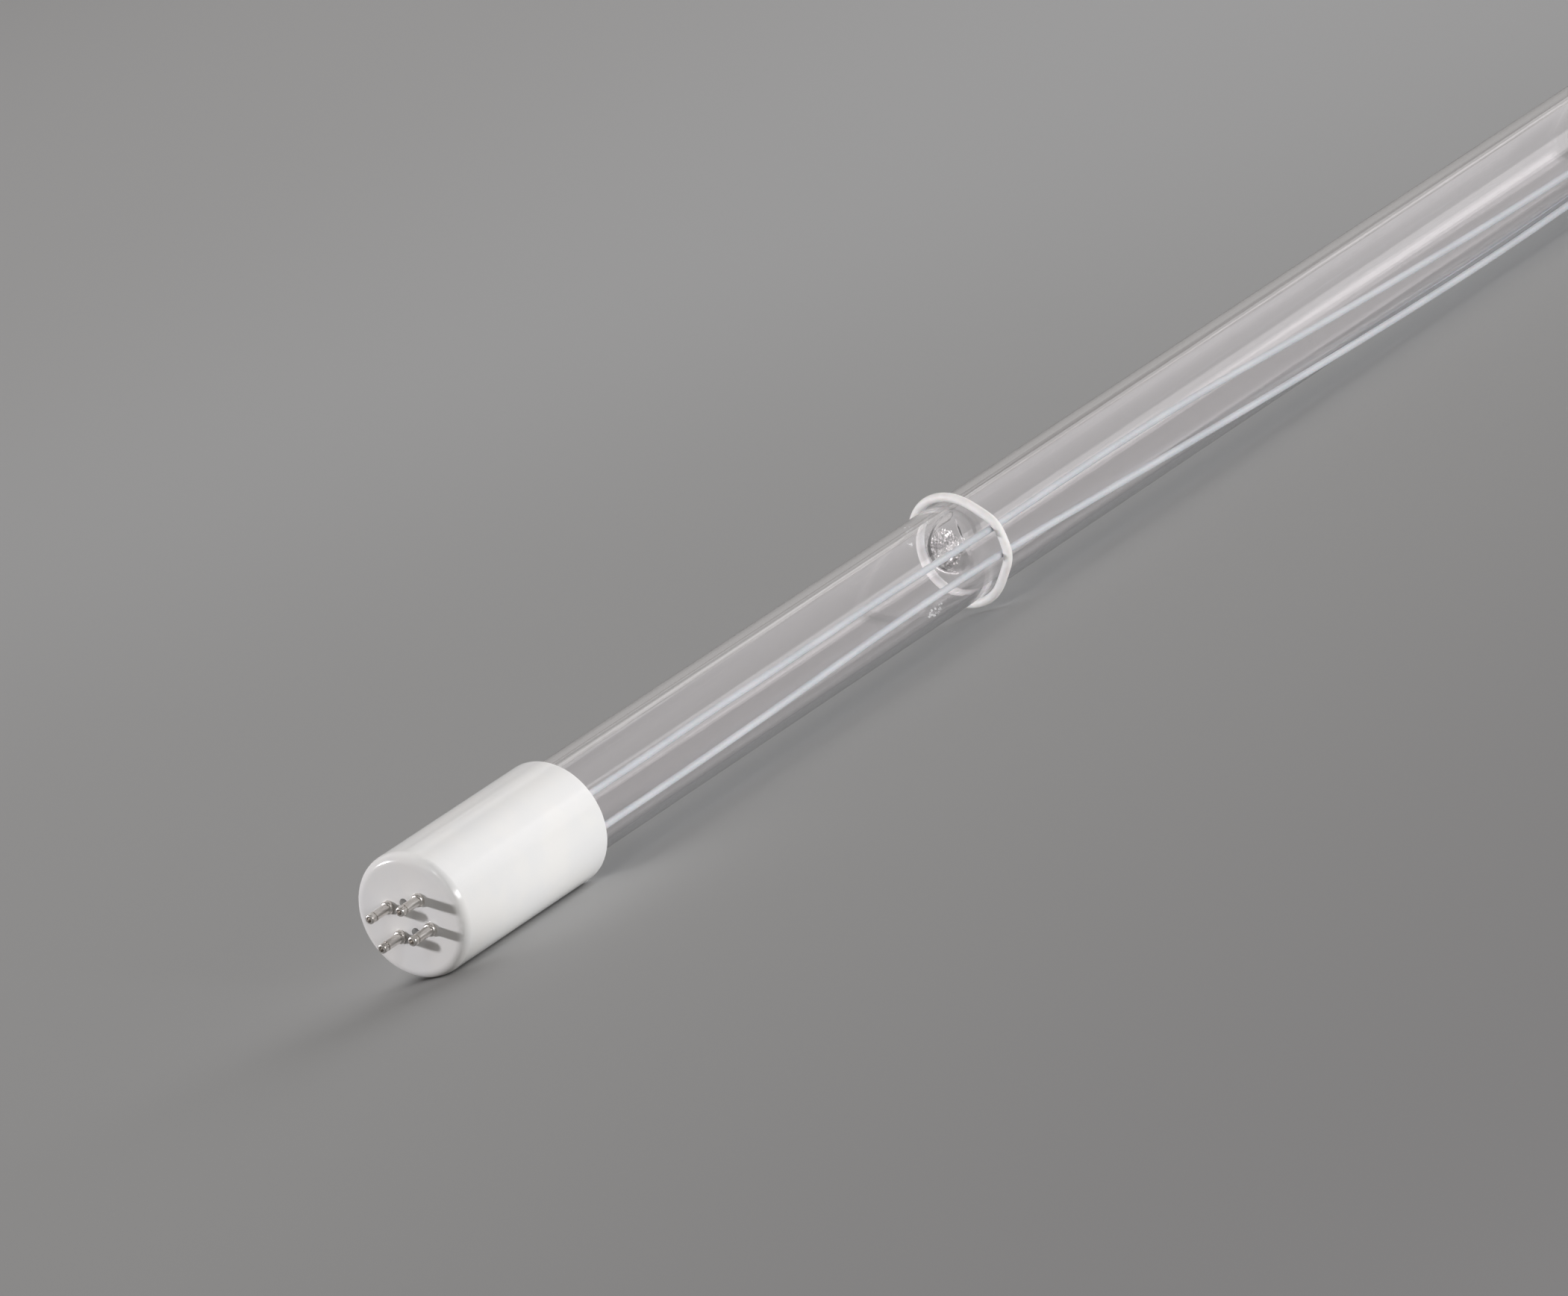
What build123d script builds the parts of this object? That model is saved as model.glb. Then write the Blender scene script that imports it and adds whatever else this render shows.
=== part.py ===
from build123d import *
import math
import os

# A four-pin, single-ended germicidal lamp. A fused quartz tube is pressed shut at both ends and cemented
# into two ceramic caps. All four pins are in the base cap, so two sleeved return leads run along the
# outside of the tube to the far electrode, held by one retaining ring. A blister in the tube wall holds
# the amalgam pellet. Millimetres. The origin is the centre of the base's front face, +X runs along the
# lamp to the far cap, +Y is along the long rows of pins, away from the leads, and +Z is up.

# Whole lamp
lamp_length = 457.0

# Ceramic caps
cap_wall = 1.4
base_length = 43.5
far_cap_length = 40.0
base_floor = 6.0
far_floor = 4.0
cap_end_round = 1.8
cap_rim_round = 0.3
bore_gap = 0.85
channel_gap = 0.15

# Contact pins, on a rectangle, with an empty hole midway along each long row
pin_spacing_y = 7.2
pin_spacing_z = 5.6
pin_diameter = 1.8
pin_reach = 5.9
pin_tail = 1.4
pin_hole_diameter = 1.0
pin_hole_depth = 0.9
pin_cup_diameter = 0.8
pin_cup_depth = 5.0
pin_tip_round = 0.3
pin_neck_depth = 0.15
pin_neck_width = 0.35
pin_neck_from_tip = 1.1
collar_diameter = 2.5
collar_thickness = 0.9
collar_round = 0.45
rivet_diameter = 2.4
rivet_thickness = 0.4
spare_hole_diameter = 1.75

# Quartz tube, which the leads push a little off the caps' axis
tube_diameter = 19.0
tube_wall = 1.4
tube_rise = 0.5
seal_from_end = 11.0
seal_length = 12.0
seal_width = 16.5
seal_thickness = 4.4
seal_corner = 1.4
shoulder_length = 7.0
throat_length = 5.5
throat_width = 11.0
throat_thickness = 2.0
throat_corner = 0.6

# Amalgam blister, blown outwards on the side away from the leads
blister_radius = 6.3
blister_wall = 1.0
blister_rise = 2.4
blister_from_ring = 6.9
pellet_thickness = 1.2
pellet_round = 0.4

# Cement between the tube and the caps
base_cement_length = 10.5
far_cement_length = 7.5
cement_recess = 0.8

# Return leads
sleeve_diameter = 1.3
sleeve_bore = 0.8
core_diameter = 0.7
sleeve_clearance = 0.12
lead_half_angle = 18.0
base_lead_turn = -2.5
far_lead_turn = -32.0
sleeve_from_end = 25.0

# Retaining ring
ring_share = 0.348
ring_section = 1.7
ring_tilt = 5.0
ring_gap = 0.1
ring_lead_angles = (14.0, -13.0)

# Electrodes
foil_length = 8.0
foil_width = 2.2
foil_thickness = 0.2
foil_pitch = 6.0
seal_wire_diameter = 0.6
seal_wire_gap = 0.03
foil_lap = 1.8
filament_from_end = 38.0
filament_turns = 7
filament_pitch = 0.6
filament_coil_radius = 0.9
filament_wire_diameter = 0.24
filament_leg = 0.6
knee_swell = 1.05
eyelet_diameter = 1.2
eyelet_length = 0.9
eyelet_overlap = 0.15
wire_end_gap = 0.3
wire_bend_room = 1.2
run_share = 0.45

# Splices in the far cap
splice_diameter = 1.8
splice_length = 5.0
splice_from_end = 14.0
splice_clearance = 2.9
splice_reach = 2.0
splice_lead_in = 1.8
splice_drop = 4.4
splice_gap = 0.03

# Worked out from the sizes above
tube_radius = tube_diameter / 2
bore_radius = tube_radius + bore_gap
cap_radius = bore_radius + cap_wall
sleeve_radius = sleeve_diameter / 2
core_radius = core_diameter / 2
wire_radius = seal_wire_diameter / 2
pin_radius = pin_diameter / 2
channel_radius = sleeve_radius + channel_gap
lead_radius = tube_radius + sleeve_clearance + sleeve_radius
far_rim = lamp_length - far_cap_length
bare_length = far_rim - base_length
ring_x = base_length + ring_share * bare_length
blister_x = ring_x + blister_from_ring
blister_depth = tube_radius + blister_rise - blister_radius
tube_start = seal_from_end + seal_length + shoulder_length
foil_start = seal_from_end + (seal_length - foil_length) / 2
wire_lift = foil_thickness / 2 + seal_wire_gap + wire_radius
splice_offset = seal_thickness / 2 + splice_clearance + splice_diameter / 2
pin_end = base_floor + pin_tail
wire_start = pin_end - pin_cup_depth + wire_end_gap

# Routes of the two return leads along the bare tube, chosen by hand: the share of the bare length, and
# the angle round the tube in degrees, from the -Y side towards +Z
upper_route = [
    (0.044, base_lead_turn + lead_half_angle),
    (0.098, 17.0),
    (0.167, 16.2),
    (0.253, 17.2),
    (ring_share, ring_lead_angles[0]),
    (0.438, 15.4),
    (0.526, 12.4),
    (0.612, 3.8),
    (0.7, -3.2),
    (0.788, -9.2),
    (0.85, -11.8),
    (0.962, far_lead_turn + lead_half_angle),
]
lower_route = [
    (0.044, base_lead_turn - lead_half_angle),
    (0.098, -19.6),
    (0.167, -17.2),
    (0.253, -12.4),
    (ring_share, ring_lead_angles[1]),
    (0.438, -21.4),
    (0.526, -30.2),
    (0.612, -39.6),
    (0.7, -49.6),
    (0.79, -58.2),
    (0.86, -58.4),
    (0.962, far_lead_turn - lead_half_angle),
]


def round_tube(x, angle, radius):
    """A point at an angle round the tube's axis, in degrees from the -Y side towards +Z."""
    turn = math.radians(angle)
    return (x, -radius * math.cos(turn), tube_rise + radius * math.sin(turn))


def beside_tube(x, out, sideways, turn):
    """A point in an end's own frame: out towards the leads, and sideways square to that."""
    angle = math.degrees(math.atan2(sideways, out)) + turn
    return round_tube(x, angle, math.hypot(out, sideways))


def cross_plane(x, turn):
    """A plane square to the tube. Its own X axis points out towards the leads, its Z axis to the base."""
    angle = math.radians(turn)
    x_dir = (0, -math.cos(angle), math.sin(angle))
    return Plane(origin=(x, 0, tube_rise), x_dir=x_dir, z_dir=(-1, 0, 0))


def bar(radius, start, end, y=0.0, z=0.0):
    """A round bar along X."""
    return extrude(Plane.YZ.offset(start) * Pos(y, z) * Circle(radius), end - start)


def corner_radii(points, rooms=()):
    """The largest arc that each corner's two runs, and the room given for the first corners, allow."""
    radii = []
    for number, (before, here, after) in enumerate(zip(points, points[1:], points[2:])):
        one = Vector(here) - Vector(before)
        two = Vector(after) - Vector(here)
        half_turn = math.radians(one.get_angle(two) / 2)
        reach = run_share * min(one.length, two.length)
        if number < len(rooms):
            reach = min(reach, rooms[number])
        radii.append(reach / math.tan(half_turn))
    return radii


def bent_path(points, rooms=()):
    """Straight runs joined by tangent arcs."""
    return FilletPolyline(*points, radius=corner_radii(points, rooms))


def swept(path, section):
    """Sweeps a flat section along a path."""
    return sweep(Plane(origin=path @ 0, z_dir=path % 0) * section, path=path)


def pin_places():
    """The pins' centres on the base's face, those nearest the leads first."""
    half_y = pin_spacing_y / 2
    half_z = pin_spacing_z / 2
    return [(-half_y, half_z), (-half_y, -half_z), (half_y, half_z), (half_y, -half_z)]


def lead_places(turn):
    """Centres of the two leads in a cap, as Y and Z."""
    points = [round_tube(0, turn + side * lead_half_angle, lead_radius) for side in (1, -1)]
    return [(y, z) for _, y, z in points]


def end_circle(shape, towards):
    """The outermost circular edge: towards the base with -1, towards the far cap with 1."""
    circles = shape.edges().filter_by(GeomType.CIRCLE).sort_by(Axis.X)
    return circles[0] if towards < 0 else circles[-1]


def cap_blank(end, rim, floor, turn):
    """A ceramic cap: rounded end, bore from the floor to the rim, and a channel for each lead."""
    outwards = 1 if end > rim else -1
    cap = bar(cap_radius, min(end, rim), max(end, rim))
    cap = fillet(end_circle(cap, outwards), cap_end_round)
    cap = fillet(end_circle(cap, -outwards), cap_rim_round)
    inside = end - outwards * floor
    start, stop = min(inside, rim), max(inside, rim)
    cap -= bar(bore_radius, start, stop)
    for y, z in lead_places(turn):
        cap -= bar(channel_radius, start, stop, y, z)
    return cap


def base_cap():
    cap = cap_blank(0, base_length, base_floor, base_lead_turn)
    for y, z in pin_places():
        cap -= bar(pin_radius, 0, base_floor, y, z)
    for side in (1, -1):
        cap -= bar(spare_hole_diameter / 2, 0, base_floor, 0, side * pin_spacing_z / 2)
    return cap


def far_cap():
    return cap_blank(lamp_length, far_rim, far_floor, far_lead_turn)


def cement(start, end, turn):
    """Fills the gap between a cap's bore and the tube, with the two sleeves through it."""
    fill = bar(bore_radius, start, end)
    for y, z in lead_places(turn):
        fill += bar(channel_radius, start, end, y, z)
    fill -= bar(tube_radius, start, end, 0, tube_rise)
    for y, z in lead_places(turn):
        fill -= bar(sleeve_radius, start, end, y, z)
    return fill


def contact_pin(y, z):
    """A turned pin: collar against the face, riveted tail with a cup for the wire, and a hollow, domed tip."""
    tip = -pin_reach
    neck = tip + pin_neck_from_tip
    pin = fillet(end_circle(bar(pin_radius, tip, pin_end, y, z), -1), pin_tip_round)
    collar = bar(collar_diameter / 2, -collar_thickness, 0, y, z)
    pin += fillet(end_circle(collar, -1), collar_round)
    pin += bar(rivet_diameter / 2, base_floor, base_floor + rivet_thickness, y, z)
    groove = bar(pin_radius, neck, neck + pin_neck_width, y, z)
    groove -= bar(pin_radius - pin_neck_depth, neck, neck + pin_neck_width, y, z)
    pin -= groove
    pin -= bar(pin_hole_diameter / 2, tip, tip + pin_hole_depth, y, z)
    return pin - bar(pin_cup_diameter / 2, pin_end - pin_cup_depth, pin_end, y, z)


def from_end(x, far):
    """A distance from the lamp's base face, or from its far face."""
    return lamp_length - x if far else x


def seal_turn(far):
    return far_lead_turn if far else base_lead_turn


def seal_foils(far):
    """The two molybdenum foils that carry the current through a press seal."""
    seat = cross_plane(from_end(seal_from_end + seal_length / 2, far), seal_turn(far))
    strip = Box(foil_thickness, foil_width, foil_length)
    return [seat * Pos(0, side * foil_pitch / 2) * strip for side in (1, -1)]


def filament_supports(far):
    """From each foil's inner end to the filament: a straight wire with an eyelet for the filament's leg."""
    start = foil_start + foil_length - foil_lap
    end = filament_from_end - eyelet_diameter / 2 + eyelet_overlap
    rod_seat = cross_plane(from_end((start + end) / 2, far), seal_turn(far))
    eyelet_seat = cross_plane(from_end(filament_from_end, far), seal_turn(far))
    supports = []
    for side in (1, -1):
        place = Pos(wire_lift, side * foil_pitch / 2)
        support = rod_seat * place * Cylinder(wire_radius, end - start)
        support += eyelet_seat * place * Rot(90, 0, 0) * Cylinder(eyelet_diameter / 2, eyelet_length)
        support -= eyelet_seat * place * Rot(90, 0, 0) * Cylinder(filament_wire_diameter / 2, eyelet_length)
        supports.append(support)
    return supports


def filament(far):
    """A tungsten coil across the tube, with a leg through the eyelet of each support wire."""
    wire = filament_wire_diameter / 2
    coil_length = filament_turns * filament_pitch
    reach = foil_pitch / 2 + eyelet_length / 2 + filament_leg
    leg_length = reach - coil_length / 2
    coil_path = Helix(filament_pitch, coil_length, filament_coil_radius, center=(0, 0, -coil_length / 2))
    section = Plane(origin=coil_path @ 0, z_dir=coil_path % 0) * Circle(wire)
    coil = sweep(section, path=coil_path, is_frenet=True)
    for side in (1, -1):
        coil += Pos(filament_coil_radius, 0, side * coil_length / 2) * Sphere(wire * knee_swell)
        coil += Pos(filament_coil_radius, 0, side * (coil_length + leg_length) / 2) * Cylinder(wire, leg_length)
    seat = cross_plane(from_end(filament_from_end, far), seal_turn(far)) * Pos(wire_lift, 0)
    towards_middle = 90 if far else -90
    return seat * Rot(90, 0, 0) * Rot(0, 0, towards_middle) * Pos(-filament_coil_radius, 0) * coil


def outer_wires_near():
    """From the near seal's foils into the two pins away from the leads."""
    wires = []
    for side, (y, z) in zip((1, -1), pin_places()[2:]):
        across = side * foil_pitch / 2
        points = [
            (wire_start, y, z),
            (pin_end + wire_bend_room, y, z),
            beside_tube(seal_from_end - wire_bend_room, wire_lift, across, base_lead_turn),
            beside_tube(foil_start + foil_lap, wire_lift, across, base_lead_turn),
        ]
        path = bent_path(points, [wire_bend_room, wire_bend_room])
        wires.append(swept(path, Circle(wire_radius)))
    return wires


def outer_wires_far():
    """From the far seal's foils, folded back into the splices beside the seal."""
    fold = (seal_from_end + far_floor) / 2
    wires = []
    for side in (1, -1):
        across = side * foil_pitch / 2
        points = [
            beside_tube(lamp_length - foil_start - foil_lap, wire_lift, across, far_lead_turn),
            beside_tube(lamp_length - fold, wire_lift, across, far_lead_turn),
            beside_tube(lamp_length - fold, splice_offset, across, far_lead_turn),
            beside_tube(lamp_length - splice_from_end - splice_reach, splice_offset, across, far_lead_turn),
        ]
        wires.append(swept(bent_path(points), Circle(wire_radius)))
    return wires


def splices():
    """Crimped barrels that join the return leads to the far seal's wires."""
    seat = cross_plane(lamp_length - splice_from_end - splice_length / 2, far_lead_turn)
    barrel = Cylinder(splice_diameter / 2, splice_length) - Cylinder(core_radius + splice_gap, splice_length)
    return [seat * Pos(splice_offset, side * foil_pitch / 2) * barrel for side in (1, -1)]


def tube_end(far):
    """The pressed seal and its shoulder at one end: the glass, and the hollow throat inside it."""
    turn = seal_turn(far)
    seal_end = seal_from_end + seal_length
    throat = tube_start - throat_length
    flat = RectangleRounded(seal_thickness, seal_width, seal_corner)
    slot = RectangleRounded(throat_thickness, throat_width, throat_corner)
    block = extrude(cross_plane(from_end(seal_from_end, far), turn) * flat, (1 if far else -1) * seal_length)
    shoulder = loft([
        cross_plane(from_end(seal_end, far), turn) * flat,
        cross_plane(from_end(tube_start, far), turn) * Circle(tube_radius),
    ])
    hollow = loft([
        cross_plane(from_end(throat, far), turn) * slot,
        cross_plane(from_end(tube_start, far), turn) * Circle(tube_radius - tube_wall),
    ])
    return block + shoulder, hollow


def blister(radius):
    return Pos(blister_x, blister_depth, tube_rise) * Sphere(radius)


def quartz_tube(embedded):
    """The tube, blown and pressed as one piece, moulded round the foils and wires of its seals."""
    end = lamp_length - tube_start
    glass = bar(tube_radius, tube_start, end, 0, tube_rise)
    hollow = bar(tube_radius - tube_wall, tube_start, end, 0, tube_rise)
    glass += blister(blister_radius)
    hollow += blister(blister_radius - blister_wall)
    for far in (False, True):
        end_glass, end_hollow = tube_end(far)
        glass += end_glass
        hollow += end_hollow
    glass -= hollow
    for piece in embedded:
        glass -= piece
    return glass


def amalgam_pellet():
    """A lump of amalgam melted into the bottom of the blister."""
    inside = blister_radius - blister_wall
    face = blister_depth + inside - pellet_thickness
    cut = Pos(blister_x, face - inside, tube_rise) * Box(3 * inside, 2 * inside, 3 * inside)
    lump = blister(inside) - cut
    return fillet(lump.edges().filter_by(GeomType.CIRCLE), pellet_round)


def lead_points(route, side):
    """The sleeved part of a return lead, from inside the base to inside the far cap."""
    base_angle = base_lead_turn + side * lead_half_angle
    far_angle = far_lead_turn + side * lead_half_angle
    points = [round_tube(sleeve_from_end, base_angle, lead_radius)]
    for share, angle in route:
        points.append(round_tube(base_length + share * bare_length, angle, lead_radius))
    points.append(round_tube(lamp_length - sleeve_from_end, far_angle, lead_radius))
    return points


def return_leads():
    """The two sleeves, and the bare cores that run on to a pin at one end and a splice at the other."""
    sleeves, cores = [], []
    for route, side, (pin_y, pin_z) in zip((upper_route, lower_route), (1, -1), pin_places()):
        covered = lead_points(route, side)
        across = side * foil_pitch / 2
        base_angle = base_lead_turn + side * lead_half_angle
        far_angle = far_lead_turn + side * lead_half_angle
        section = Circle(sleeve_radius) - Circle(sleeve_bore / 2)
        sleeves.append(swept(bent_path(covered), section))
        bare_start = [
            (wire_start, pin_y, pin_z),
            (pin_end + wire_bend_room, pin_y, pin_z),
            round_tube(seal_from_end + seal_length / 2, base_angle, lead_radius),
        ]
        splice_end = lamp_length - splice_from_end - splice_length
        bare_end = [
            round_tube(splice_end - splice_drop, far_angle, lead_radius),
            beside_tube(splice_end - splice_lead_in, splice_offset, across, far_lead_turn),
            beside_tube(splice_end + splice_reach, splice_offset, across, far_lead_turn),
        ]
        path = bent_path(bare_start + covered[1:-1] + bare_end, [wire_bend_room])
        cores.append(swept(path, Circle(core_radius)))
        print("lead corner radii:", [round(r, 1) for r in corner_radii(covered)])
    return sleeves, cores


def retaining_ring():
    """A round-section band pulled over the tube and both leads: arcs round each, tangent spans between."""
    half = ring_section / 2
    round_glass = tube_radius + half + ring_gap
    round_lead = sleeve_radius + half + ring_gap
    leave = math.degrees(math.acos((round_glass - round_lead) / lead_radius))
    upper, lower = ring_lead_angles
    middle = (upper + lower) / 2

    def on_circle(centre, radius, angle):
        turn = math.radians(angle)
        return (0, centre[0] - radius * math.cos(turn), centre[1] + radius * math.sin(turn))

    def lead_centre(angle):
        turn = math.radians(angle)
        return (-lead_radius * math.cos(turn), lead_radius * math.sin(turn))

    def arc(centre, radius, first, last):
        mean = (first + last) / 2
        return ThreePointArc(*[on_circle(centre, radius, angle) for angle in (first, mean, last)])

    first = arc(lead_centre(upper), round_lead, upper + leave, middle)
    second = arc(lead_centre(lower), round_lead, middle, lower - leave)
    back = arc((0, 0), round_glass, lower - leave, upper + leave - 360)
    loop = Wire([
        first,
        Line(first @ 1, second @ 0),
        second,
        Line(second @ 1, back @ 0),
        back,
        Line(back @ 1, first @ 0),
    ])
    ring = sweep(Plane(origin=loop @ 0, z_dir=loop % 0) * Circle(half), path=loop)
    return Pos(ring_x, 0, tube_rise) * Rot(0, 0, -ring_tilt) * ring


def numbered(name, pieces):
    """Names the pieces of a pair or a set."""
    return {f"{name}_{number}": piece for number, piece in enumerate(pieces, 1)}


def build():
    """Every piece of the lamp by the name of its node."""
    base_cement_end = base_length - cement_recess
    far_cement_start = far_rim + cement_recess
    nodes = {
        "base_cap": base_cap(),
        "far_cap": far_cap(),
        "base_cement": cement(base_cement_end - base_cement_length, base_cement_end, base_lead_turn),
        "far_cement": cement(far_cement_start, far_cement_start + far_cement_length, far_lead_turn),
    }
    seals = {}
    for end, far in (("near", False), ("far", True)):
        seals |= numbered(f"{end}_seal_foil", seal_foils(far))
        seals |= numbered(f"{end}_seal_wire", outer_wires_far() if far else outer_wires_near())
        seals |= numbered(f"{end}_filament_support", filament_supports(far))
        nodes[f"{end}_filament"] = filament(far)
    sleeves, cores = return_leads()
    nodes |= seals
    nodes |= numbered("contact_pin", [contact_pin(y, z) for y, z in pin_places()])
    nodes |= numbered("lead_sleeve", sleeves)
    nodes |= numbered("lead_core", cores)
    nodes |= numbered("lead_splice", splices())
    nodes["quartz_tube"] = quartz_tube(seals.values())
    nodes["amalgam_pellet"] = amalgam_pellet()
    nodes["retaining_ring"] = retaining_ring()
    return nodes


os.makedirs("parts", exist_ok=True)
for name, shape in build().items():
    piece = shape.solid()
    piece.label = name
    export_step(piece, f"parts/{name}.step")
    print(name, round(piece.volume, 2))
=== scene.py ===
# %% [markdown]
# # A four-pin germicidal lamp
# The lamp is a clear quartz tube between two white ceramic caps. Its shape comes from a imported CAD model,
# which stays where it is. This script gives every surface its finish, and replaces the solids whose look
# needs finer shape than a CAD solid holds: the glass, the braided sleeves, the ring and the amalgam. All
# sizes are the lamp's real ones, in metres, and +X runs along the lamp from its pins.

# %% Load the lamp
import math

import bmesh
import bpy
from mathutils import Matrix, Vector


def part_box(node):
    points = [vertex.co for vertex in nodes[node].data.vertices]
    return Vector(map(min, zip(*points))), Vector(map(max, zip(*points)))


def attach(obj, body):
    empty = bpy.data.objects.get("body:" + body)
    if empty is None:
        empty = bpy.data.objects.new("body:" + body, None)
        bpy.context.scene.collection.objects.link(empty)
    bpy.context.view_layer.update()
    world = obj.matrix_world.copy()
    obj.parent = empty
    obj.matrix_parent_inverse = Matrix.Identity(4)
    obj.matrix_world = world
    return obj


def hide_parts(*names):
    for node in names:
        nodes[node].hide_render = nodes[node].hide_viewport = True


mm = 0.001
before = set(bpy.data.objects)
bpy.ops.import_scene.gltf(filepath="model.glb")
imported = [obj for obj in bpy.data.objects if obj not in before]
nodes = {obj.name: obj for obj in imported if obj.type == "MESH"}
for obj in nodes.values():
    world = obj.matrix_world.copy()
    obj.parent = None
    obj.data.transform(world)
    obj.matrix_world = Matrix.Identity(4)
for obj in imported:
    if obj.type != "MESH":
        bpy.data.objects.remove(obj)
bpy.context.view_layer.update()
lamp_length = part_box("far_cap")[1].x
cap_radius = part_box("base_cap")[1].z
print("nodes:", len(nodes), "length:", round(lamp_length / mm, 1), "mm")

# %% [markdown]
# ## The camera
# The photograph looks at the pins from the front left and a little above, with a long lens. The camera was
# worked out from the outlines of the cap and tube, so it is rolled: the pins' rectangle is upright here and
# leans in the photograph.

# %% Camera
camera_place = (-1.870241, -1.722881, 0.451705)
camera_turn = (79.54277, 22.23344, -53.09354)
sensor_width = 36.0
focal_length = 342.68

camera_data = bpy.data.cameras.new("camera")
camera_data.sensor_width = sensor_width
camera_data.lens = focal_length
camera_data.clip_end = 50.0
camera = bpy.data.objects.new("camera", camera_data)
camera.location = camera_place
camera.rotation_euler = [math.radians(angle) for angle in camera_turn]
bpy.context.scene.collection.objects.link(camera)
bpy.context.scene.camera = camera
print("camera:", focal_length, "mm lens,", round(camera.location.length, 2), "m from the pins")

# %% [markdown]
# ## Arithmetic on sockets
# Shaders and Geometry Nodes are both graphs of small steps. Writing them as Python sums keeps them
# readable: a Socket holds one output of a node, and adding or multiplying two of them adds the Math node
# that does it.


# %% Sockets
class Socket:
    """One output of a node, which takes part in sums as a number does."""

    def __init__(self, graph, output):
        self.graph = graph
        self.output = output

    def maths(self, operation, *others):
        settings = {"operation": operation}
        return self.graph.node("ShaderNodeMath", settings, dict(enumerate((self, *others)))).out()

    def __add__(self, other):
        return self.maths("ADD", other)

    def __sub__(self, other):
        return self.maths("SUBTRACT", other)

    def __rsub__(self, other):
        return self.graph.number(other).maths("SUBTRACT", self)

    def __mul__(self, other):
        return self.maths("MULTIPLY", other)

    def __truediv__(self, other):
        return self.maths("DIVIDE", other)

    def __pow__(self, other):
        return self.maths("POWER", other)

    def __neg__(self):
        return self.maths("MULTIPLY", -1.0)

    def __rtruediv__(self, other):
        return self.graph.number(other).maths("DIVIDE", self)

    __radd__ = __add__
    __rmul__ = __mul__


class Node:
    """A node, with its outputs as Sockets."""

    def __init__(self, graph, made):
        self.graph = graph
        self.made = made

    def out(self, name=0):
        return Socket(self.graph, self.made.outputs[name])


print("sockets can be added, subtracted, multiplied, divided and raised to a power")

# %% [markdown]
# ### A graph
# A Graph is a node tree that code fills. Every node comes from one method, which takes the node's type,
# its settings and its inputs, and each input is a plain value or a Socket. The other methods are short
# names for nodes that come back often.


# %% Graphs
class Graph:
    """A node tree that is filled by code."""

    def __init__(self, tree):
        self.tree = tree

    def node(self, kind, settings=None, inputs=None):
        made = self.tree.nodes.new(kind)
        for name, value in (settings or {}).items():
            setattr(made, name, value)
        for name, value in (inputs or {}).items():
            self.feed(made.inputs[name], value)
        return Node(self, made)

    def feed(self, socket, value):
        if isinstance(value, Socket):
            self.tree.links.new(value.output, socket)
        else:
            socket.default_value = value

    def number(self, value):
        """A plain number as a Socket."""
        return self.node("ShaderNodeMath", {"operation": "ADD"}, {0: value, 1: 0.0}).out()

    def vector(self, x, y, z):
        """A place from its three numbers."""
        return self.node("ShaderNodeCombineXYZ", None, {"X": x, "Y": y, "Z": z}).out()

    def arrow(self, operation, first, second):
        """Vector Math on two arrows."""
        return self.node("ShaderNodeVectorMath", {"operation": operation}, {0: first, 1: second}).out()

    def stretch(self, arrow, share):
        """An arrow made longer or shorter."""
        return self.node("ShaderNodeVectorMath", {"operation": "SCALE"}, {0: arrow, "Scale": share}).out()

    def parts(self, vector):
        """The three numbers of a place."""
        split = self.node("ShaderNodeSeparateXYZ", None, {"Vector": vector})
        return split.out("X"), split.out("Y"), split.out("Z")

    def mix(self, share, first, second):
        """Between two colours."""
        made = self.node("ShaderNodeMix", {"data_type": "RGBA"}, {"Factor": share})
        colours = [socket for socket in made.made.inputs if socket.type == "RGBA"]
        self.feed(colours[0], first)
        self.feed(colours[1], second)
        return Socket(self, next(socket for socket in made.made.outputs if socket.type == "RGBA"))

    def between(self, value, low, high, start=0.0, end=1.0):
        """Rises from start to end as value goes from low to high, and stays there."""
        spans = {"Value": value, "From Min": low, "From Max": high, "To Min": start, "To Max": end}
        return self.node("ShaderNodeMapRange", {"interpolation_type": "SMOOTHSTEP"}, spans).out()


print("a graph can fill materials, lamps and the trees that make shapes")

# %% [markdown]
# ## Finishes
# Every material reads Object coordinates, which are the lamp's own metres here, so a pattern has one real
# scale on all pieces. Only colour, roughness and a bump change over a surface. What is the same all over
# is set on the shader's socket.


# %% A material and its noise
def finish(name, **constants):
    """A new material: its graph, its shader, and a coordinate in metres of the lamp."""
    material = bpy.data.materials.new(name)
    material.use_nodes = True
    graph = Graph(material.node_tree)
    shader = next(node for node in material.node_tree.nodes if node.type == "BSDF_PRINCIPLED")
    for socket, value in constants.items():
        shader.inputs[socket.replace("_", " ")].default_value = value
    place = graph.node("ShaderNodeTexCoord").out("Object")
    return material, graph, shader, place


def noise(graph, place, size, detail=2.0, stretch=(1.0, 1.0, 1.0)):
    """Smooth noise whose grains are size metres, times a stretch along each axis."""
    scale = [1.0 / (size * share) for share in stretch]
    scaled = graph.node("ShaderNodeMapping", {"vector_type": "POINT"}, {"Vector": place, "Scale": scale})
    waves = {"Vector": scaled.out(), "Scale": 1.0, "Detail": detail}
    return graph.node("ShaderNodeTexNoise", None, waves).out(0)


def bump(graph, shader, height, depth, strength=1.0):
    """Feeds the shader's normal from a height of 0 to 1 that stands for depth metres."""
    inputs = {"Height": height, "Distance": depth, "Strength": strength}
    graph.feed(shader.inputs["Normal"], graph.node("ShaderNodeBump", None, inputs).out())


print("every finish is a material with noise of a real size in it")

# %% [markdown]
# ### Glazed ceramic
# The caps are white steatite under a thin glaze. The body is nearly white with a breath of warmth, the
# glaze pools and thins over a few millimetres, and fine orange peel breaks up its highlights.


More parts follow.
